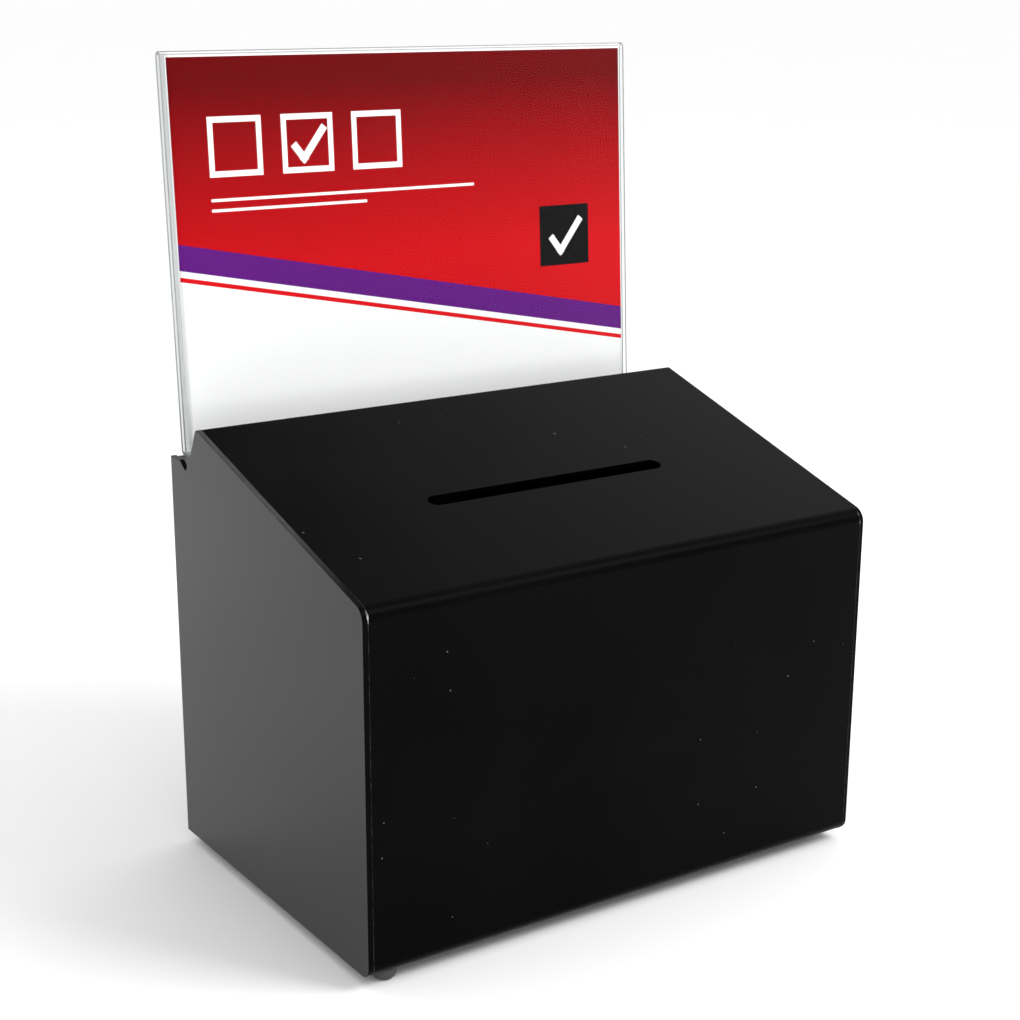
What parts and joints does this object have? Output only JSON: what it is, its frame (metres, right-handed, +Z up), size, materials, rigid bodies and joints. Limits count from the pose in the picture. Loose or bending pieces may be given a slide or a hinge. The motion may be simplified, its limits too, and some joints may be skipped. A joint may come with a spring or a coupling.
{
  "type": "ballot box",
  "caption": "Counter-top ballot box with a sloping slotted top, a locked drop-down rear door, rubber feet and a clear folded holder for an upright A4 card.",
  "frame": {"origin": "on the table, under the middle of the box's width and depth", "axes": "+X to the box's right as its front is looked at, +Y to the rear, +Z up"},
  "size_m": [0.32, 0.2384, 0.4456],
  "materials": {
    "wrap": "polished black acrylic",
    "side_panels": "satin black acrylic",
    "rail": "polished black acrylic",
    "feet": "matte black rubber",
    "door": "polished black acrylic",
    "hinges": "brushed, nickel plated",
    "pins": "drawn steel",
    "hardware": "zinc plated",
    "lock": "chrome plated",
    "plug": "nickel plated",
    "cam": "yellow zinc plated",
    "key": "nickel plated",
    "clear_sheet": "clear acrylic",
    "card": "printed card"
  },
  "bodies": {
    "box": {"wrap_sheet": "wrap", "left_side_panel": "side_panels", "right_side_panel": "side_panels", "header_rail": "rail", "foot_front_left": "feet", "foot_front_right": "feet", "foot_rear_left": "feet", "foot_rear_right": "feet", "hinge_base_leaf_left": "hinges", "hinge_base_leaf_right": "hinges", "hinge_pin_left": "pins", "hinge_pin_right": "pins", "hinge_base_screws": "hardware", "hinge_base_nuts": "hardware"},
    "door": {"rear_door": "door", "hinge_door_leaf_left": "hinges", "hinge_door_leaf_right": "hinges", "hinge_door_screws": "hardware", "hinge_door_nuts": "hardware", "lock_housing": "lock", "lock_washer": "hardware", "lock_nut": "lock"},
    "lock_core": {"lock_plug": "plug", "lock_cam": "cam", "cam_washer": "hardware", "cam_screw": "hardware"},
    "door_key": {"key": "key"},
    "sign_holder": {"header_holder": "clear_sheet"},
    "sign_card": {"header_card": "card"}
  },
  "joints": [
    {"name": "rear_door_hinge", "type": "hinge", "parent": "box", "child": "door", "pos_m": [0, 0.10805, 0.0042], "axis": [-1, 0, 0], "range_deg": [0, 80]},
    {"name": "lock_turn", "type": "hinge", "parent": "door", "child": "lock_core", "pos_m": [0, 0.10575, 0.186], "axis": [0, -1, 0], "range_deg": [0, 90]},
    {"name": "key_pull", "type": "slide", "parent": "lock_core", "child": "door_key", "axis": [0, 1, 0], "range_m": [0, 0.02]},
    {"name": "header_slide", "type": "slide", "parent": "box", "child": "sign_holder", "axis": [1, 0, 0], "range_m": [-0.15, 0.15]},
    {"name": "card_slide", "type": "slide", "parent": "sign_holder", "child": "sign_card", "axis": [1, 0, 0], "range_m": [-0.15, 0.15]}
  ]
}
